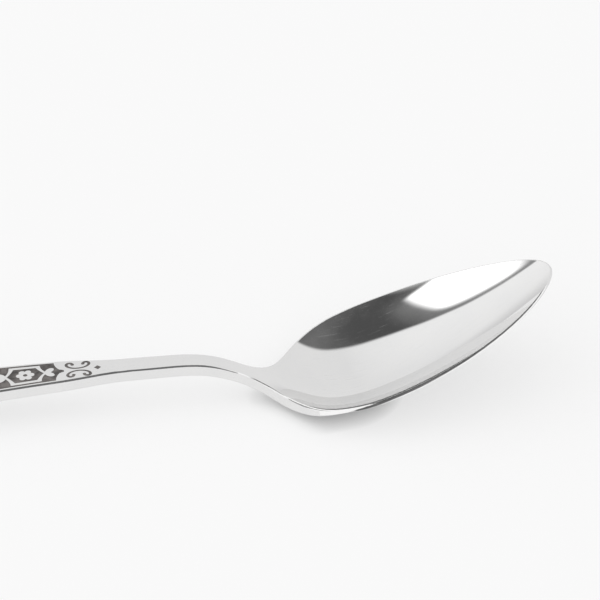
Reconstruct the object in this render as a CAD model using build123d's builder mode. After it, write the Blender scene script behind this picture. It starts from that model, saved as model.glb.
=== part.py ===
from build123d import *

import os
from math import ceil, cos, hypot, pi, radians, sin

# A teaspoon lying bowl up on a table. X runs from the handle end to the bowl tip, Z is up, the table is
# Z = 0 and the origin is under the middle of the spoon. The body is one forging. The dark ornament on the
# handle fills shallow pockets in it, and each filling is a piece of its own. Lengths are in millimetres.

# Plan of the bowl, with the fullness of its curves as shares of their reach
BOWL_LENGTH = 47.3
BOWL_WIDTH = 30.5
BELLY_FROM_NECK = 18.2
SIDE_FULLNESS = 0.53
TIP_FULLNESS = 0.46
HEEL_FULLNESS = 0.69
NECK_FULLNESS = 0.45

# Plan of the handle
HANDLE_LENGTH = 89.3
STEM_WIDTH = 3.52
STEM_FROM_NECK = 5.3
STEM_TAPER = 0.014
SHOULDER_FROM_NECK = 23.5
SHOULDER_LENGTH = 11.8
SHOULDER_FULLNESS = 0.4
HANDLE_WIDTH = 6.5
HANDLE_TAPER = 0.055
END_ROUND_RISE = 4.0
END_PLAN_FILLET = 2.5

# Side profile of the upper face, from the bowl tip back to the handle, with the same kind of shares
TIP_HEIGHT = 21.6
TIP_SLOPE = 42.4
RISE_FULLNESS = 0.418
FLOOR_FULLNESS = 0.2
LOW_FROM_NECK = 10.5
HEEL_RADIUS = 17.6
NECK_SLOPE = 26.0
NECK_STRAIGHT = 8.9
NECK_RADIUS = 21.2

# Metal thickness, hollow and edges
BOWL_DEPTH = 5.75
BOWL_WALL = 0.8
HANDLE_THICKNESS = 2.1
DISH_RUN = 5.5
THINNING_RUN = 7.6
EDGE_ROUND = 0.25
REST_FLAT_DEPTH = 0.08

# Ornament: pockets, the pointed panel and the first of the cartouches in it
POCKET_DEPTH = 0.45
INLAY_SINK = 0.05
EDGE_STRIP = 0.55
BORDER_LINE = 0.43
RIBBON_WIDTH = 0.58
FIELD_LENGTH = 6.1
FIELD_FLAT = 3.66
FIELD_HOLLOW = 0.08
APEX_RIBBON = 0.6
FRAME_FLAT = 5.1
FRAME_HOLLOW = 0.28
LEAF_LENGTH = 1.75
LEAF_WIDTH = 1.1
LEAF_ANGLE = 40.0
LEAF_GAP = 0.2
ROSETTE_MARGIN = 0.48
ROSETTE_PETALS = 6
PETAL_OVERLAP = 0.04
EYE_DIAMETER = 0.72
POINT_LENGTH = 1.5
POINT_WIDTH = 1.1
POINT_END = 0.5

# Ornament: the scrolls and the diamond beyond each end of the panel
SCROLL_GAP = 0.25
SCROLL_SPLIT = 0.36
SCROLL_LENGTH = 4.25
SCROLL_STRIP = 0.3
SCROLL_STROKE = 0.5
SCROLL_BACK = 0.34
SCROLL_CURL = 1.5
SCROLL_BALL = 0.6
DIAMOND_GAP = 0.45
DIAMOND_WIDTH = 1.2
END_CLEARANCE = 5.0

# Spacing of the body's sections, and how far they pass the outline that trims them
SECTION_SPACING = 4.0
TRIM = 1.5

# Places along X
tip_x = (BOWL_LENGTH + HANDLE_LENGTH) / 2
end_x = -tip_x
neck_x = tip_x - BOWL_LENGTH
belly_x = neck_x + BELLY_FROM_NECK
low_x = neck_x + LOW_FROM_NECK
stem_x = neck_x - STEM_FROM_NECK
shoulder_x = neck_x - SHOULDER_FROM_NECK
handle_x = shoulder_x - SHOULDER_LENGTH


def ramp(x, start, stop):
    """Smooth rise from 0 at start to 1 at stop."""
    share = min(max((x - start) / (stop - start), 0), 1)
    return share * share * (3 - 2 * share)


def dish(x):
    """Hollow of the section at x: its height over the middle is this times the square of Y."""
    return BOWL_DEPTH / (BOWL_WIDTH / 2) ** 2 * ramp(x, neck_x - DISH_RUN / 2, neck_x + DISH_RUN / 2)


def thickness(x):
    """Metal thickness at x, measured straight down."""
    return HANDLE_THICKNESS + (BOWL_WALL - HANDLE_THICKNESS) * ramp(x, low_x - THINNING_RUN, low_x)


def stem_half(x):
    """Half width of the stem at x, between the neck and the shoulder."""
    return STEM_WIDTH / 2 + STEM_TAPER * (stem_x - x)


def handle_half(x):
    """Half width of the handle at x, behind the shoulder."""
    return HANDLE_WIDTH / 2 + HANDLE_TAPER * (handle_x - x)


# Side profile of the upper face, and the height of each section along it
neck_angle = radians(NECK_SLOPE)
low = Vector(low_x, BOWL_WALL - REST_FLAT_DEPTH)
heel_top = low + (-HEEL_RADIUS * sin(neck_angle), HEEL_RADIUS * (1 - cos(neck_angle)))
neck_foot = heel_top + (-NECK_STRAIGHT * cos(neck_angle), NECK_STRAIGHT * sin(neck_angle))
crest = neck_foot + (-NECK_RADIUS * sin(neck_angle), NECK_RADIUS * (1 - cos(neck_angle)))
handle_end = Vector(end_x, HANDLE_THICKNESS)
tip = Vector(tip_x, TIP_HEIGHT)
tip_direction = Vector(cos(radians(TIP_SLOPE)), sin(radians(TIP_SLOPE)))
bowl_reach = tip_x - low_x
rise_handle = tip_direction * (RISE_FULLNESS * bowl_reach / tip_direction.X)

with BuildLine() as profile:
    handle_curve = TangentArc(crest, handle_end, tangent=(-1, 0))
    Line(handle_end, handle_end + handle_curve % 1 * TRIM)
    TangentArc(crest, neck_foot, tangent=(1, 0))
    Line(neck_foot, heel_top)
    TangentArc(low, heel_top, tangent=(-1, 0))
    Bezier(low, low + (FLOOR_FULLNESS * bowl_reach, 0), tip - rise_handle, tip)
    Line(tip, tip + tip_direction * TRIM)

section_tops = {}
for stretch in profile.edges():
    count = ceil(stretch.length / SECTION_SPACING)
    for step in range(count + 1):
        point = stretch @ (step / count)
        section_tops[round(point.X, 6)] = point.Y

# Plan of the spoon
half_bowl = BOWL_WIDTH / 2
belly = Vector(belly_x, half_bowl)
side_reach = Vector(SIDE_FULLNESS * (tip_x - belly_x), 0)
heel_reach = Vector(HEEL_FULLNESS * (belly_x - stem_x), 0)
stem_start = Vector(stem_x, stem_half(stem_x))
stem_reach = Vector(1, -STEM_TAPER) * (NECK_FULLNESS * (belly_x - stem_x))
shoulder_foot = Vector(shoulder_x, stem_half(shoulder_x))
shoulder_top = Vector(handle_x, handle_half(handle_x))
foot_reach = Vector(-1, STEM_TAPER) * (SHOULDER_FULLNESS * SHOULDER_LENGTH)
top_reach = Vector(1, -HANDLE_TAPER) * (SHOULDER_FULLNESS * SHOULDER_LENGTH)
end_corner = Vector(end_x + END_ROUND_RISE, handle_half(end_x + END_ROUND_RISE))

with BuildSketch() as outline:
    with BuildLine():
        Bezier(belly, belly + side_reach, (tip_x, TIP_FULLNESS * half_bowl), (tip_x, 0))
        Bezier(belly, belly - heel_reach, stem_start + stem_reach, stem_start)
        Line(stem_start, shoulder_foot)
        Bezier(shoulder_foot, shoulder_foot + foot_reach, shoulder_top + top_reach, shoulder_top)
        Line(shoulder_top, end_corner)
        mirror(about=Plane.XZ)
        ThreePointArc(end_corner, (end_x, 0), (end_corner.X, -end_corner.Y))
    make_face()
    fillet(outline.vertices().group_by(Axis.X)[0], END_PLAN_FILLET)

# Places of the ornament along the handle, measured from the middle of the first cartouche
leaf_angle = radians(LEAF_ANGLE)
leaf_along = LEAF_LENGTH * cos(leaf_angle)
field_apex = FIELD_LENGTH / 2
leaf_root = field_apex + APEX_RIBBON / 2
leaf_tip = leaf_root + (leaf_along + hypot(leaf_along, LEAF_WIDTH * sin(leaf_angle))) / 2
panel_corner = leaf_tip + LEAF_GAP / 2
panel_point = panel_corner + POINT_LENGTH
scroll_middle = panel_point + SCROLL_GAP + SCROLL_LENGTH / 2
diamond_middle = scroll_middle + SCROLL_LENGTH / 2 + DIAMOND_GAP + DIAMOND_WIDTH / 2

# The panel starts where the shoulder ends, and grows with the handle for as many cartouches as there is room
first_x = handle_x - panel_corner
ornament_end = diamond_middle + DIAMOND_WIDTH / 2
growth = HANDLE_TAPER / handle_half(first_x)


def size(x):
    """Size of the ornament at x, as a share of that at the first cartouche."""
    return 1 + growth * (first_x - x)


cartouche_places = []
place = first_x
while not cartouche_places or place - ornament_end * size(place) > end_x + END_CLEARANCE:
    cartouche_places.append(place)
    place -= 2 * panel_corner * size(place) / (1 - panel_corner * growth)
panel_ends = [(first_x, 1), (cartouche_places[-1], -1)]


def cartouche(x, apex, flat, inset, hollow):
    """Outline about (x, 0): flats along the handle's edges, and hollow curves to an apex at each end."""
    with BuildSketch() as shape:
        with BuildLine():
            corners = []
            for along in (1, -1):
                corner_x = x + along * flat / 2
                corner = Vector(corner_x, handle_half(corner_x) - inset)
                point = Vector(x + along * apex, 0)
                inward = (point - corner).normalized().rotate(Axis.Z, -90 * along) * hollow
                ThreePointArc(corner, (corner + point) / 2 + inward, point)
                corners.append(corner)
            Line(*corners)
            mirror(about=Plane.XZ)
        make_face()
    return shape.sketch


def rosette(x):
    """Bright rosette about (x, 0), inside a cartouche's field."""
    radius = handle_half(x) - EDGE_STRIP - BORDER_LINE - RIBBON_WIDTH - ROSETTE_MARGIN * size(x)
    petal_share = sin(pi / ROSETTE_PETALS)
    petal = radius * petal_share / (1 + petal_share)
    with BuildSketch() as shape:
        with Locations((x, 0)):
            Circle(radius - petal)
            with PolarLocations(radius - petal, ROSETTE_PETALS):
                Circle(petal + PETAL_OVERLAP)
    return shape.sketch


def field(x):
    """Dark field of the cartouche at x, round its rosette."""
    inset = EDGE_STRIP + BORDER_LINE + RIBBON_WIDTH
    with BuildSketch() as shape:
        add(cartouche(x, field_apex * size(x), FIELD_FLAT * size(x), inset, FIELD_HOLLOW * size(x)))
        add(rosette(x), mode=Mode.SUBTRACT)
    return shape.sketch


def eye(x):
    """Dark eye of the rosette at x."""
    with BuildSketch() as shape:
        with Locations((x, 0)):
            Circle(EYE_DIAMETER / 2 * size(x))
    return shape.sketch


def leafed_frame(x):
    """Bright frame of the cartouche at x, filled in, with a pair of leaves at each apex."""
    apex = field_apex + APEX_RIBBON
    inset = EDGE_STRIP + BORDER_LINE
    centre = Vector(leaf_root + leaf_along / 2, LEAF_LENGTH * sin(leaf_angle) / 2) * size(x)
    half_length = LEAF_LENGTH / 2 * size(x)
    half_width = LEAF_WIDTH / 2 * size(x)
    with BuildSketch() as shape:
        add(cartouche(x, apex * size(x), FRAME_FLAT * size(x), inset, FRAME_HOLLOW * size(x)))
        for along in (1, -1):
            for across in (1, -1):
                with Locations((x + along * centre.X, across * centre.Y)):
                    Ellipse(half_length, half_width, rotation=along * across * LEAF_ANGLE)
    return shape.sketch


def ground():
    """Dark ground of the pointed panel, round the framed cartouches."""
    with BuildSketch() as shape:
        with BuildLine():
            corners = []
            for x, along in panel_ends:
                corner_x = x + along * panel_corner * size(x)
                corner = Vector(corner_x, handle_half(corner_x) - EDGE_STRIP)
                root = Vector(corner_x + along * POINT_LENGTH / 2 * size(x), POINT_WIDTH / 2 * size(x))
                end = Vector(corner_x + along * POINT_LENGTH * size(x), POINT_END / 2 * size(x))
                TangentArc(corner, root, tangent=(0, -1))
                Polyline(root, end, (end.X, 0))
                corners.append(corner)
            Line(*corners)
            mirror(about=Plane.XZ)
        make_face()
        for x in cartouche_places:
            add(leafed_frame(x), mode=Mode.SUBTRACT)
    return shape.sketch


def scroll(x, along, across):
    """Dark scroll beyond the panel end at x, its back to the middle of the handle and its ends curled out."""
    curl = SCROLL_CURL / 2
    narrow_x = first_x + scroll_middle + SCROLL_LENGTH / 2
    shoulder_share = (shoulder_x - narrow_x) / SHOULDER_LENGTH
    edge = shoulder_foot.Y + (shoulder_top.Y - shoulder_foot.Y) * shoulder_share
    height = edge - SCROLL_STRIP - curl
    back = height - SCROLL_SPLIT / 2
    with BuildSketch() as half_ring:
        Circle(curl)
        Circle(curl - SCROLL_STROKE, mode=Mode.SUBTRACT)
        Rectangle(2 * curl, curl, align=(Align.CENTER, Align.MAX), mode=Mode.SUBTRACT)
    with BuildSketch() as shape:
        with Locations((0, height)):
            Ellipse(SCROLL_LENGTH / 2, back)
            Ellipse(SCROLL_LENGTH / 2 - SCROLL_STROKE, back - SCROLL_BACK, mode=Mode.SUBTRACT)
            Rectangle(SCROLL_LENGTH, back, align=(Align.CENTER, Align.MIN), mode=Mode.SUBTRACT)
            with GridLocations(SCROLL_LENGTH - 2 * curl, 0, 2, 1):
                add(half_ring.sketch)
            with GridLocations(SCROLL_LENGTH - 4 * curl + SCROLL_STROKE, 0, 2, 1):
                Circle(SCROLL_BALL / 2)
    turned = shape.sketch if across > 0 else mirror(shape.sketch, about=Plane.XZ, mode=Mode.PRIVATE)
    scaled = scale(turned, by=size(x), mode=Mode.PRIVATE)
    return scaled.moved(Location((x + along * scroll_middle * size(x), 0)))


def diamond(x, along):
    """Dark diamond beyond the scrolls of the panel end at x."""
    with BuildSketch() as shape:
        with Locations((x + along * diamond_middle * size(x), 0)):
            RegularPolygon(DIAMOND_WIDTH / 2 * size(x), 4)
    return shape.sketch


def handle_layer(top_drop, low_drop):
    """Layer of the handle between two depths under its upper face, wider than the handle."""
    with BuildPart() as layer:
        with BuildSketch(Plane.XZ):
            with BuildLine():
                top_line = TangentArc(crest - (0, top_drop), handle_end - (0, top_drop), tangent=(-1, 0))
                low_line = TangentArc(crest - (0, low_drop), handle_end - (0, low_drop), tangent=(-1, 0))
                Line(top_line @ 0, low_line @ 0)
                Line(top_line @ 1, low_line @ 1)
            make_face()
        extrude(amount=BOWL_WIDTH / 2, both=True)
    return layer.part


# The dark shapes in plan, by the name of their piece
shapes = {"panel_ground": ground()}
for number, x in enumerate(cartouche_places, start=1):
    shapes[f"cartouche_field_{number}"] = field(x)
    shapes[f"rosette_eye_{number}"] = eye(x)
for place, (x, along) in zip(("neck", "end"), panel_ends):
    shapes[f"{place}_scroll_left"] = scroll(x, along, 1)
    shapes[f"{place}_scroll_right"] = scroll(x, along, -1)
    shapes[f"{place}_diamond"] = diamond(x, along)

os.makedirs("parts", exist_ok=True)
pocket_layer = handle_layer(-TRIM, POCKET_DEPTH)
inlay_layer = handle_layer(INLAY_SINK, POCKET_DEPTH)

with BuildPart() as pockets:
    for shape in shapes.values():
        extrude(shape, amount=TIP_HEIGHT)
    add(pocket_layer, mode=Mode.INTERSECT)

sheet_half = half_bowl + TRIM
with BuildPart() as spoon_body:
    for x, top in sorted(section_tops.items()):
        rise = dish(x) * sheet_half ** 2
        arch = [Vector(-sheet_half, top + rise), Vector(0, top - rise), Vector(sheet_half, top + rise)]
        with BuildSketch(Plane.YZ.offset(x)):
            with BuildLine():
                upper = Bezier(*arch)
                lower = Bezier(*[corner - (0, thickness(x)) for corner in arch])
                Line(upper @ 0, lower @ 0)
                Line(upper @ 1, lower @ 1)
            make_face()
    loft()
    add(extrude(outline.sketch, TIP_HEIGHT * 2, both=True, mode=Mode.PRIVATE), mode=Mode.INTERSECT)
    fillet(spoon_body.edges().filter_by(Axis.Z, reverse=True), EDGE_ROUND)
    split(bisect_by=Plane.XY, keep=Keep.TOP)
    add(pockets.part, mode=Mode.SUBTRACT)
spoon_body.part.label = "spoon_body"
export_step(spoon_body.part, "parts/spoon_body.step")

for name, shape in shapes.items():
    with BuildPart() as inlay:
        extrude(shape, amount=TIP_HEIGHT)
        add(inlay_layer, mode=Mode.INTERSECT)
    inlay.part.label = name
    export_step(inlay.part, f"parts/{name}.step")
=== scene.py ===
import bpy
import numpy as np
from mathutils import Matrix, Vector
from mathutils.geometry import delaunay_2d_cdt
from mathutils.kdtree import KDTree


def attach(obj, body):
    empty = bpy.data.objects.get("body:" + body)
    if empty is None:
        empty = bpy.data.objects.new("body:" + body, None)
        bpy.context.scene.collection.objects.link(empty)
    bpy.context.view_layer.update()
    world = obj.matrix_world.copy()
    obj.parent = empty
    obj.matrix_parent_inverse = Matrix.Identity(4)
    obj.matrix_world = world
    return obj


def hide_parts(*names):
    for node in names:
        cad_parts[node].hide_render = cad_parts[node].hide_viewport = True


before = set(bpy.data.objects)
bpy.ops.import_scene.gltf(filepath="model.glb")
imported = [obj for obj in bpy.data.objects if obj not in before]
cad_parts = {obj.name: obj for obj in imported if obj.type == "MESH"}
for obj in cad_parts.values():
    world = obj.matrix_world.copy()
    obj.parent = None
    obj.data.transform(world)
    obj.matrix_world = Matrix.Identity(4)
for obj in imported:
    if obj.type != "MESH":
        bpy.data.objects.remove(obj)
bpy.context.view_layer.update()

# Camera, in metres in the part's frame, with its lens and sensor in millimetres
CAMERA_PLACE = (-0.044158, -0.501789, 0.322880)
CAMERA_TARGET = (0.027418, 0.007506, 0.013857)
CAMERA_LENS = 216.16
SENSOR_WIDTH = 36.0
CLIP_START = 0.01

# The ground, the share of its light that is its own glow, and the painted contact shadow that darkens that
# glow near the spoon
GROUND_SIZE = 6.0
GROUND_ALBEDO = 0.95
GROUND_GLOW = 0.5
PAINTED_SHADOW_REACH = 0.0032
PAINTED_SHADOW_LEAN = (-0.62, -0.2, 0.76)

# The soft sky that lights the scene, brighter towards the viewer and to the left
SKY_LEVEL = 1.0
SKY_FRONT = 0.42
SKY_LEFT = 0.2

# What the polished metal mirrors: backdrop, dark ceiling, bright window, and light at both sides in front
BACKDROP_LEVEL = 0.88
BACKDROP_LEFT = 0.35
BACKDROP_LEFT_FROM = 0.15
BACKDROP_LOW = 0.8
BACKDROP_LOW_TOP = 0.22
CEILING_LEVEL = 0.09
CEILING_RIGHT_GLOW = 0.055
WINDOW_GLOW = 0.2
WINDOW_LEVEL = 1.9
FRONT_LIGHT_LEVEL = 1.15

# Their edges, in units of the ceiling's height over the spoon: X to the right, Y to the back
CEILING_EDGE = ((-2.6, 3.2), (-1.42, 1.5), (-1.06, 0.96), (-0.81, 0.605), (-0.57, 0.367), (-0.26, 0.225),
                (0.1, 0.165), (0.6, 0.165))
CEILING_EDGE_RANGE = ((-2.6, 0.6), (0.0, 3.2))
CEILING_RIGHT = 0.61
CEILING_RIGHT_SLANT = 0.18
CEILING_RIGHT_FRONT = -0.7
CEILING_FRONT = -1.5
CEILING_GLOW_LEFT = -0.1
WINDOW_FRONT = 0.005
WINDOW_RIGHT = -0.68
WINDOW_SLANT = -0.35
WINDOW_MARGIN = 0.12
WINDOW_LEFT = -1.36
WINDOW_GLOW_REACH = 0.06
FRONT_LIGHT_RIGHT = -0.45
FRONT_LIGHT_GAP = 0.18
FRONT_LIGHT_BACK = -0.68
FRONT_LIGHT_BACK_LIMIT = -0.04
FRONT_LIGHT_SLANT = 0.8

# How soft these edges are, and how low over the ground the ceiling reaches
SHARP_EDGE = 0.03
SOFT_EDGE = 0.07
FADING_EDGE = 0.14
VAGUE_EDGE = 0.3
HORIZON = 0.02

# The metal: its clouds by scale, detail and roughness, and the tints and roughness that follow them
SILVER_CLOUD = (110.0, 4.0, 0.6)
SILVER_TINTS = ((0.3, (0.785, 0.785, 0.785, 1)), (0.7, (0.82, 0.815, 0.81, 1)))
SILVER_ROUGHNESS = (0.02, 0.07)

# Its wear: haze that rises through a range of the clouds, and scratches by direction, length and width
WORN_TINT = (0.8, 0.8, 0.8, 1)
HAZE = (0.0, 0.07)
HAZE_RANGE = (0.35, 0.75)
SCRATCHES = ((0.9, 0.004, 0.00022), (-0.5, 0.006, 0.00025), (2.0, 0.003, 0.0002))
SCRATCH_CLOUD = (1.0, 1.0, 0.5)
SCRATCH_EDGE = 0.74
SCRATCH_SOFTNESS = 0.06
SCRATCH_DEPTH = 0.08

# The dark filling, described in the same way as the metal
INLAY_CLOUD = (420.0, 4.0, 0.65)
INLAY_TINTS = ((0.38, (0.044, 0.039, 0.037, 1)), (0.62, (0.17, 0.155, 0.148, 1)))
INLAY_ROUGHNESS = (0.5, 0.7)

# The smoothed copy of the body, in millimetres
MM = 1000.0
MERGE_DIGITS = 5
LONG_FACE = 100.0
KNOT_STEP = 3.0
MIDDLE_STIFFNESS = 1e-3
HOLLOW_STIFFNESS = 1e-1
FIT_FROM = -12.0
SMOOTH_FROM = -4.0
GRID_STEP = 0.6
GRID_MARGIN = 0.4
GRID_TOLERANCE = 1e-7
GRID_INSIDE_ONLY = 1
SHARED_EDGE = 0.8

# The leaning face round the bowl's rim: angles over the horizon, by their place across and along the rim
RIM_FROM = 10.0
RIM_LENGTH = 40.0
RIM_START = (20.0, 34.0)
RIM_PLACES = (0.16, 0.93)
RIM_TURN = (31.0, 37.0)
RIM_TOP_ANGLES = (36.0, 61.0)
RIM_LOW_ANGLE = 35.0

# The rounded upper edges of the handle, told from other faces by their length and their mean lift
EDGE_LENGTH = 1.0
EDGE_LIFT = (0.4, 0.85)
EDGE_PLACES = (0.0, 0.06, 0.95, 1.0)
EDGE_ANGLES = (90.0, 63.0, 36.0, 0.0)
SMALLEST_LEVEL = 1e-9


class Graph:
    """A node tree with short calls for the nodes that the looks are made of."""

    def __init__(self, tree):
        self.tree = tree
        tree.nodes.clear()

    def add(self, kind, **settings):
        node = self.tree.nodes.new(kind)
        for name, value in settings.items():
            setattr(node, name, value)
        return node

    def put(self, node, **values):
        for name, value in values.items():
            self.feed(node.inputs[name.replace("_", " ")], value)
        return node

    def feed(self, socket, value):
        if isinstance(value, bpy.types.NodeSocket):
            self.tree.links.new(value, socket)
        else:
            socket.default_value = value

    def math(self, operation, first, second=0.0):
        node = self.add("ShaderNodeMath", operation=operation)
        self.feed(node.inputs[0], first)
        self.feed(node.inputs[1], second)
        return node.outputs[0]

    def above(self, value, edge, softness=SHARP_EDGE):
        """1 where value is over edge and 0 where it is under it, with a soft step between."""
        node = self.add("ShaderNodeMapRange", interpolation_type="SMOOTHSTEP")
        over = self.math("SUBTRACT", value, edge)
        return self.put(node, Value=over, From_Min=-softness, From_Max=softness).outputs[0]

    def between(self, value, limits, source=(0.0, 1.0)):
        """Number that passes from the first limit to the second as value rises through source."""
        node = self.add("ShaderNodeMapRange")
        return self.put(node, Value=value, From_Min=source[0], From_Max=source[1],
                        To_Min=limits[0], To_Max=limits[1]).outputs["Result"]

    def curve(self, value, points, ranges):
        """Smooth curve through points, whose two coordinates lie in the two ranges."""
        node = self.add("ShaderNodeFloatCurve")
        curve = node.mapping.curves[0]
        for number, point in enumerate(points):
            place = [(part - low) / (high - low) for part, (low, high) in zip(point, ranges)]
            if 0 < number < len(points) - 1:
                curve.points.new(*place)
            else:
                curve.points[0 if number == 0 else -1].location = place
        node.mapping.update()
        (low, high), (bottom, top) = ranges
        share = self.math("DIVIDE", self.math("SUBTRACT", value, low), high - low)
        self.feed(node.inputs["Value"], share)
        return self.math("ADD", self.math("MULTIPLY", node.outputs[0], top - bottom), bottom)

    def all(self, first, *others):
        for other in others:
            first = self.math("MULTIPLY", first, other)
        return first

    def mix(self, factor, first, second):
        return self.math("ADD", self.math("MULTIPLY", first, self.math("SUBTRACT", 1.0, factor)),
                         self.math("MULTIPLY", second, factor))

    def cloud(self, place, settings):
        scale, detail, roughness = settings
        noise = self.add("ShaderNodeTexNoise")
        return self.put(noise, Vector=place, Scale=scale, Detail=detail, Roughness=roughness).outputs["Fac"]

    def tint(self, value, stops):
        """Colour that passes from the first stop to the second as value rises."""
        node = self.add("ShaderNodeValToRGB")
        for element, (position, colour) in zip(node.color_ramp.elements, stops):
            element.position = position
            element.color = colour
        return self.put(node, Fac=value).outputs["Color"]

    def blend(self, factor, first, second):
        """Shader that is first where factor is 0 and second where it is 1."""
        node = self.add("ShaderNodeMixShader")
        for socket, value in zip(node.inputs, (factor, first.outputs[0], second.outputs[0])):
            self.feed(socket, value)
        return node

    def show(self, shader, output="ShaderNodeOutputMaterial"):
        self.feed(self.add(output).inputs["Surface"], shader.outputs[0])


def mirrored_room(graph, direction):
    """Level of light that a mirror sees: a white room whose dark ceiling has a bright window in it."""
    height = graph.math("MAXIMUM", direction.outputs["Z"], HORIZON)
    along = graph.math("DIVIDE", direction.outputs["X"], height)
    across = graph.math("DIVIDE", direction.outputs["Y"], height)
    overhead = graph.above(direction.outputs["Z"], HORIZON * 2, HORIZON)

    back_edge = graph.curve(along, CEILING_EDGE, CEILING_EDGE_RANGE)
    right_edge = graph.math("MAXIMUM", across, CEILING_RIGHT_FRONT)
    right_edge = graph.math("ADD", graph.math("MULTIPLY", right_edge, CEILING_RIGHT_SLANT), CEILING_RIGHT)
    ceiling = graph.all(overhead, graph.above(back_edge, across), graph.above(right_edge, along, SOFT_EDGE),
                        graph.above(across, CEILING_FRONT, FADING_EDGE))

    window_edge = graph.math("ADD", graph.math("MULTIPLY", across, WINDOW_SLANT), WINDOW_RIGHT)
    window_back = graph.math("SUBTRACT", back_edge, WINDOW_MARGIN)
    window = graph.all(overhead, graph.above(window_edge, along), graph.above(across, WINDOW_FRONT),
                       graph.above(window_back, across, SOFT_EDGE),
                       graph.above(along, WINDOW_LEFT, FADING_EDGE))

    beside = graph.math("ADD", graph.above(FRONT_LIGHT_RIGHT, along, SOFT_EDGE),
                        graph.above(along, graph.math("ADD", right_edge, FRONT_LIGHT_GAP), SOFT_EDGE))
    light_back = graph.math("MULTIPLY", graph.math("ABSOLUTE", along), FRONT_LIGHT_SLANT)
    light_back = graph.math("ADD", light_back, FRONT_LIGHT_BACK)
    light_back = graph.math("MINIMUM", light_back, FRONT_LIGHT_BACK_LIMIT)
    front_light = graph.all(overhead, beside, graph.above(light_back, across, SOFT_EDGE))

    leftward = graph.math("MULTIPLY", direction.outputs["X"], -1.0)
    leftward = graph.math("MAXIMUM", graph.math("SUBTRACT", leftward, BACKDROP_LEFT_FROM), 0.0)
    backdrop = graph.math("ADD", BACKDROP_LEVEL, graph.math("MULTIPLY", leftward, BACKDROP_LEFT))
    raised = graph.above(direction.outputs["Z"], BACKDROP_LOW_TOP / 2, BACKDROP_LOW_TOP / 2)
    backdrop = graph.math("MULTIPLY", backdrop, graph.mix(raised, BACKDROP_LOW, 1.0))

    window_side = graph.above(graph.math("ADD", window_edge, WINDOW_GLOW_REACH), along, FADING_EDGE)
    window_glow = graph.all(window_side, graph.above(across, WINDOW_FRONT, FADING_EDGE), WINDOW_GLOW)
    right_glow = graph.all(graph.above(along, CEILING_GLOW_LEFT, VAGUE_EDGE), CEILING_RIGHT_GLOW)
    dim = graph.math("ADD", graph.math("ADD", window_glow, right_glow), CEILING_LEVEL)
    level = graph.mix(ceiling, backdrop, dim)
    level = graph.mix(window, level, WINDOW_LEVEL)
    return graph.mix(front_light, level, FRONT_LIGHT_LEVEL)


def build_world():
    """White studio: a soft sky for shadows, the mirrored room for metal, plain white for the camera."""
    world = bpy.data.worlds.new("studio")
    world.use_nodes = True
    bpy.context.scene.world = world
    graph = Graph(world.node_tree)
    direction = graph.add("ShaderNodeSeparateXYZ")
    graph.feed(direction.inputs[0], graph.add("ShaderNodeTexCoord").outputs["Generated"])
    sky = graph.math("MULTIPLY", direction.outputs["Y"], -SKY_FRONT)
    sky = graph.math("SUBTRACT", sky, graph.math("MULTIPLY", direction.outputs["X"], SKY_LEFT))
    sky = graph.math("MULTIPLY", graph.math("ADD", sky, 1.0), SKY_LEVEL)
    path = graph.add("ShaderNodeLightPath")
    sharp = graph.math("MAXIMUM", path.outputs["Is Glossy Ray"], path.outputs["Is Transmission Ray"])
    level = graph.mix(sharp, sky, mirrored_room(graph, direction))
    level = graph.mix(path.outputs["Is Camera Ray"], level, GROUND_ALBEDO)
    background = graph.put(graph.add("ShaderNodeBackground"), Color=(1, 1, 1, 1), Strength=level)
    graph.show(background, "ShaderNodeOutputWorld")


def new_material(name):
    material = bpy.data.materials.new(name)
    material.use_nodes = True
    return material, Graph(material.node_tree)


def build_ground():
    """Plain white table top that fades into the backdrop, partly lit and partly glowing, with a painted
    contact shadow in its glow.
    """
    mesh = bpy.data.meshes.new("ground")
    reach = GROUND_SIZE / 2
    corners = [(-reach, -reach, 0), (reach, -reach, 0), (reach, reach, 0), (-reach, reach, 0)]
    mesh.from_pydata(corners, [], [(0, 1, 2, 3)])
    ground = bpy.data.objects.new("ground", mesh)
    bpy.context.scene.collection.objects.link(ground)
    material, graph = new_material("white_ground")
    white = (GROUND_ALBEDO, GROUND_ALBEDO, GROUND_ALBEDO, 1)
    lit = graph.put(graph.add("ShaderNodeBsdfDiffuse"), Color=white)
    # Painted contact shadow: ambient occlusion over a short reach darkens the ground's glow near the spoon,
    # its direction leaned to the left and front
    lean = graph.put(graph.add("ShaderNodeCombineXYZ"), **dict(zip("XYZ", PAINTED_SHADOW_LEAN)))
    painted_shadow = graph.put(graph.add("ShaderNodeAmbientOcclusion"), Distance=PAINTED_SHADOW_REACH,
                        Normal=lean.outputs[0])
    shadowed_glow = graph.put(graph.add("ShaderNodeEmission"), Color=white, Strength=painted_shadow.outputs["AO"])
    graph.show(graph.blend(GROUND_GLOW, lit, shadowed_glow))
    mesh.materials.append(material)


def polished_silver():
    """Polished silver-coloured metal with a faint haze and hairline scratches from use."""
    material, graph = new_material("polished_silver")
    place = graph.add("ShaderNodeTexCoord").outputs["Object"]
    cloud = graph.cloud(place, SILVER_CLOUD)
    metal = graph.put(graph.add("ShaderNodeBsdfPrincipled"), Metallic=1.0,
                      Base_Color=graph.tint(cloud, SILVER_TINTS),
                      Roughness=graph.between(cloud, SILVER_ROUGHNESS))

    wear = graph.between(cloud, HAZE, HAZE_RANGE)
    for turn, length, width in SCRATCHES:
        turned = graph.put(graph.add("ShaderNodeMapping"), Vector=place, Rotation=(0, 0, turn),
                           Scale=(1 / length, 1 / width, 1 / length))
        streak = graph.cloud(turned.outputs[0], SCRATCH_CLOUD)
        line = graph.above(streak, SCRATCH_EDGE, SCRATCH_SOFTNESS)
        wear = graph.math("ADD", wear, graph.math("MULTIPLY", line, SCRATCH_DEPTH))
    worn = graph.put(graph.add("ShaderNodeBsdfDiffuse"), Color=WORN_TINT)
    graph.show(graph.blend(wear, metal, worn))
    return material


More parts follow.
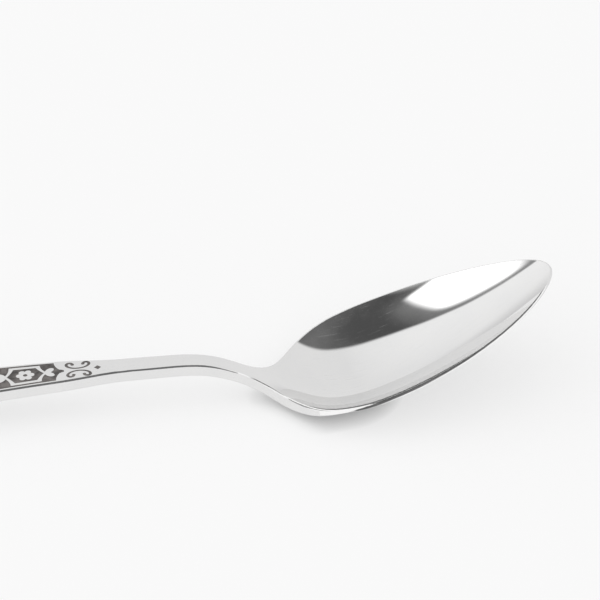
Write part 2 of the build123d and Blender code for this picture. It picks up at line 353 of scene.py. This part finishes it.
def dark_inlay():
    """Matt dark filling of the ornament, mottled where it has rubbed."""
    material, graph = new_material("dark_inlay")
    mottle = graph.cloud(graph.add("ShaderNodeTexCoord").outputs["Object"], INLAY_CLOUD)
    graph.show(graph.put(graph.add("ShaderNodeBsdfPrincipled"),
                         Base_Color=graph.tint(mottle, INLAY_TINTS),
                         Roughness=graph.between(mottle, INLAY_ROUGHNESS)))
    return material


def unit(vectors):
    return vectors / np.linalg.norm(vectors, axis=-1, keepdims=True)


def spline_weights(x, knots):
    """Weights of evenly spaced cubic spline knots at each x, and the slopes of these weights."""
    away = (x[:, None] - knots[None, :]) / KNOT_STEP
    near = np.abs(away)
    tail = np.clip(2 - near, 0, None)
    weights = np.where(near < 1, 2 / 3 - near ** 2 + near ** 3 / 2, tail ** 3 / 6)
    slopes = np.where(near < 1, 1.5 * near ** 2 - 2 * near, -tail ** 2 / 2) * np.sign(away) / KNOT_STEP
    return weights, slopes


class Sheet:
    """Smooth surface through the points of one long face: height = middle(x) + hollow(x) * y * y."""

    def __init__(self, points):
        first, last = points[:, 0].min(), points[:, 0].max()
        self.knots = np.arange(first - KNOT_STEP, last + 2 * KNOT_STEP, KNOT_STEP)
        count = len(self.knots)
        weights = spline_weights(points[:, 0], self.knots)[0]
        bend = np.diff(np.eye(count), 2, axis=0)
        still = np.zeros_like(bend)
        system = np.vstack([np.hstack([weights, weights * points[:, 1:2] ** 2]),
                            np.hstack([bend * MIDDLE_STIFFNESS, still]),
                            np.hstack([still, bend * HOLLOW_STIFFNESS])])
        wanted = np.concatenate([points[:, 2], np.zeros(2 * len(bend))])
        solution = np.linalg.lstsq(system, wanted, rcond=None)[0]
        self.middle, self.hollow = solution[:count], solution[count:]

    def height(self, place):
        weights = spline_weights(place[:, 0], self.knots)[0]
        return weights @ self.middle + weights @ self.hollow * place[:, 1] ** 2

    def normal(self, place):
        weights, slopes = spline_weights(place[:, 0], self.knots)
        along = slopes @ self.middle + slopes @ self.hollow * place[:, 1] ** 2
        across = 2 * (weights @ self.hollow) * place[:, 1]
        return unit(np.stack([-along, -across, np.ones(len(place))], axis=1))


def read_mesh(mesh):
    """Points in millimetres, triangles, and the normals at the triangles' corners."""
    points = np.empty(len(mesh.vertices) * 3)
    mesh.vertices.foreach_get("co", points)
    faces = np.empty(len(mesh.polygons) * 3, dtype=int)
    mesh.polygons.foreach_get("vertices", faces)
    normals = np.empty(len(mesh.loops) * 3)
    mesh.corner_normals.foreach_get("vector", normals)
    return points.reshape(-1, 3) * MM, faces.reshape(-1, 3), normals.reshape(-1, 3, 3)


def face_groups(count, faces):
    """Number of the smooth face that each point belongs to: points joined by triangles share a number."""
    group = np.arange(count)
    while True:
        lowest = group[faces].min(axis=1)
        joined = group.copy()
        for corner in range(3):
            np.minimum.at(joined, faces[:, corner], lowest)
        joined = joined[joined]
        if (joined == group).all():
            return group
        group = joined


def sort_groups(points, normals, group, face_group):
    """Numbers of the two long faces, of the faces round the bowl's rim, and of the handle's upper edges."""
    long_faces, rims, edges = {}, [], []
    for number in np.unique(face_group):
        own = points[group == number]
        size = np.ptp(own, axis=0)
        lift = normals[face_group == number][:, :, 2].mean()
        if size[0] > LONG_FACE:
            long_faces["upper" if lift > 0 else "lower"] = number
        elif own[:, 0].min() > RIM_FROM and size[0] > RIM_LENGTH:
            rims.append(number)
        elif size.max() > EDGE_LENGTH and EDGE_LIFT[0] < lift < EDGE_LIFT[1]:
            edges.append(number)
    return long_faces, rims, edges


def outer_loop(faces):
    """Points round the outside of a patch of triangles, in order."""
    edges = {(int(a), int(b)) for face in faces for a, b in zip(face, np.roll(face, -1))}
    following = {a: b for a, b in edges if (b, a) not in edges}
    loop = [next(iter(following))]
    while following[loop[-1]] != loop[0]:
        loop.append(following[loop[-1]])
    return loop


def grid_inside(loop):
    """Even triangular grid of places inside a closed outline, clear of the outline itself."""
    low, high = loop.min(axis=0), loop.max(axis=0)
    rows = np.arange(low[1], high[1], GRID_STEP * 3 ** 0.5 / 2)
    columns = np.arange(low[0], high[0], GRID_STEP)
    places = np.array([(x + GRID_STEP / 2 * (number % 2), y)
                       for number, y in enumerate(rows) for x in columns])
    inside = np.zeros(len(places), dtype=bool)
    clear = np.full(len(places), np.inf)
    for start, step in zip(loop, np.roll(loop, -1, axis=0) - loop):
        offset = places - start
        if step[1]:
            rise = offset[:, 1] / step[1]
            inside ^= (rise >= 0) & (rise < 1) & (offset[:, 0] < rise * step[0])
        share = np.clip(offset @ step / (step @ step), 0, 1)
        clear = np.minimum(clear, np.linalg.norm(offset - share[:, None] * step, axis=1))
    return places[inside & (clear > GRID_MARGIN)]


def refill(points, loop, sheet):
    """Even triangles on a sheet inside a loop of points: added points, triangles, corner normals."""
    outline = points[loop][:, :2]
    grid = grid_inside(outline)
    places = np.vstack([outline, grid])
    made = delaunay_2d_cdt([Vector(place) for place in places], [], [list(range(len(loop)))],
                           GRID_INSIDE_ONLY, GRID_TOLERANCE)
    origin = np.array([sources[0] for sources in made[3]])
    corners = origin[np.array(made[2])]
    first, second = (places[corners[:, number]] - places[corners[:, 0]] for number in (1, 2))
    turned = first[:, 0] * second[:, 1] < first[:, 1] * second[:, 0]
    corners[turned] = corners[turned][:, ::-1]
    numbers = np.concatenate([loop, len(points) + np.arange(len(grid))])
    return np.column_stack([grid, sheet.height(grid)]), numbers[corners], sheet.normal(places)[corners]


def rim_outward(places, wall_places, wall_normals):
    """Level direction out of the rim at each place, from the nearest point of its upright wall."""
    tree = KDTree(len(wall_places))
    for number, place in enumerate(wall_places):
        tree.insert((place[0], place[1], 0), number)
    tree.balance()
    nearest = [tree.find((place[0], place[1], 0))[1] for place in places]
    return unit(wall_normals[nearest] * (1, 1, 0))


def lift_angle(directions, outward):
    """Angle of each direction over the horizon on the side that outward points to, in degrees."""
    return np.degrees(np.arctan2(directions[:, 2], (directions * outward).sum(axis=1)))


def lean_rim(normals, places, outward, upper, lower):
    """Turn the normals across the bowl's rim so that it shades as one face that leans outwards and up."""
    lift, top, bottom = (lift_angle(directions, outward) for directions in (normals, upper, lower))
    across = np.clip((top - lift) / (top - bottom), 0, 1)
    first, last = RIM_PLACES
    upper_angle = np.interp(places[:, 0], RIM_TURN, RIM_TOP_ANGLES)
    leaned = np.select(
        [across < first, across < last],
        [top + (upper_angle - top) * across / first,
         upper_angle + (RIM_LOW_ANGLE - upper_angle) * (across - first) / (last - first)],
        RIM_LOW_ANGLE + (bottom - RIM_LOW_ANGLE) * (across - last) / (1 - last))
    share = np.clip((places[:, 0] - RIM_START[0]) / (RIM_START[1] - RIM_START[0]), 0, 1)
    angle = np.radians(lift + (leaned - lift) * share)[:, None]
    sideways = normals - outward * (normals * outward).sum(axis=1, keepdims=True) - normals * (0, 0, 1)
    return unit(outward * np.cos(angle) + (0, 0, 1) * np.sin(angle) + sideways)


def widen_edge(normals):
    """Turn the normals across a rounded edge so that most of it shades as one slanting face."""
    level = np.linalg.norm(normals[:, :2], axis=1)
    lift = np.degrees(np.arctan2(normals[:, 2], level))
    angle = np.radians(np.interp(1 - lift / EDGE_ANGLES[0], EDGE_PLACES, EDGE_ANGLES))
    outward = normals[:, :2] / np.maximum(level, SMALLEST_LEVEL)[:, None]
    return np.column_stack([outward * np.cos(angle)[:, None], np.sin(angle)])


def polished_body(node):
    """Copy of the body with even triangles in the bowl and smooth normals, as a polished mirror needs."""
    points, faces, normals = read_mesh(node.data)
    group = face_groups(len(points), faces)
    face_group = group[faces[:, 0]]
    long_faces, rims, edges = sort_groups(points, normals, group, face_group)
    fitted = points[:, 0] > FIT_FROM
    sheets = {side: Sheet(points[(group == number) & fitted]) for side, number in long_faces.items()}

    wall = min(rims, key=lambda number: np.abs(normals[face_group == number][:, :, 2]).mean())
    on_wall, on_rim, on_edge = (np.isin(face_group, numbers) for numbers in ([wall], rims, edges))
    places = points[faces[on_rim]].reshape(-1, 3)
    outward = rim_outward(places, points[faces[on_wall]].reshape(-1, 3), normals[on_wall].reshape(-1, 3))
    leaned = lean_rim(normals[on_rim].reshape(-1, 3), places, outward,
                      sheets["upper"].normal(places), -sheets["lower"].normal(places))
    normals[on_rim] = leaned.reshape(-1, 3, 3)
    normals[on_edge] = widen_edge(normals[on_edge].reshape(-1, 3)).reshape(-1, 3, 3)

    merged, index = np.unique(points.round(MERGE_DIGITS), axis=0, return_inverse=True)
    old_faces = index.reshape(-1)[faces]
    in_bowl = points[faces][:, :, 0].min(axis=1) > SMOOTH_FROM
    refilled = (face_group == long_faces["upper"]) & in_bowl
    loop = outer_loop(old_faces[refilled])
    new_points, new_faces, new_normals = refill(merged, loop, sheets["upper"])
    smooth = sheets["upper"].normal(points[faces].reshape(-1, 3)).reshape(-1, 3, 3)
    shared = np.isin(old_faces, loop) & ((smooth * normals).sum(axis=2) > SHARED_EDGE)
    normals[shared] = smooth[shared]

    kept = ~refilled & (old_faces != np.roll(old_faces, 1, axis=1)).all(axis=1)
    copy = bpy.data.meshes.new("polished_body")
    copy.from_pydata((np.vstack([merged, new_points]) / MM).tolist(), [],
                     np.vstack([old_faces[kept], new_faces]).tolist())
    copy.shade_smooth()
    copy.normals_split_custom_set(np.vstack([normals[kept], new_normals]).reshape(-1, 3).tolist())
    body = bpy.data.objects.new("polished_body", copy)
    bpy.context.scene.collection.objects.link(body)
    return body


def build_camera():
    data = bpy.data.cameras.new("camera")
    data.sensor_fit = "HORIZONTAL"
    data.sensor_width = SENSOR_WIDTH
    data.lens = CAMERA_LENS
    data.clip_start = CLIP_START
    camera = bpy.data.objects.new("camera", data)
    camera.location = CAMERA_PLACE
    view = Vector(CAMERA_TARGET) - Vector(CAMERA_PLACE)
    camera.rotation_euler = view.to_track_quat("-Z", "Y").to_euler()
    bpy.context.scene.collection.objects.link(camera)
    bpy.context.scene.camera = camera


silver = polished_silver()
inlay = dark_inlay()
for name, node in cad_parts.items():
    node.data.materials.clear()
    node.data.materials.append(silver if name == "spoon_body" else inlay)

body = polished_body(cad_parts["spoon_body"])
body.data.materials.append(silver)
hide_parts("spoon_body")
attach(body, "root")

build_world()
build_ground()
build_camera()
bpy.context.scene.view_settings.view_transform = "Standard"
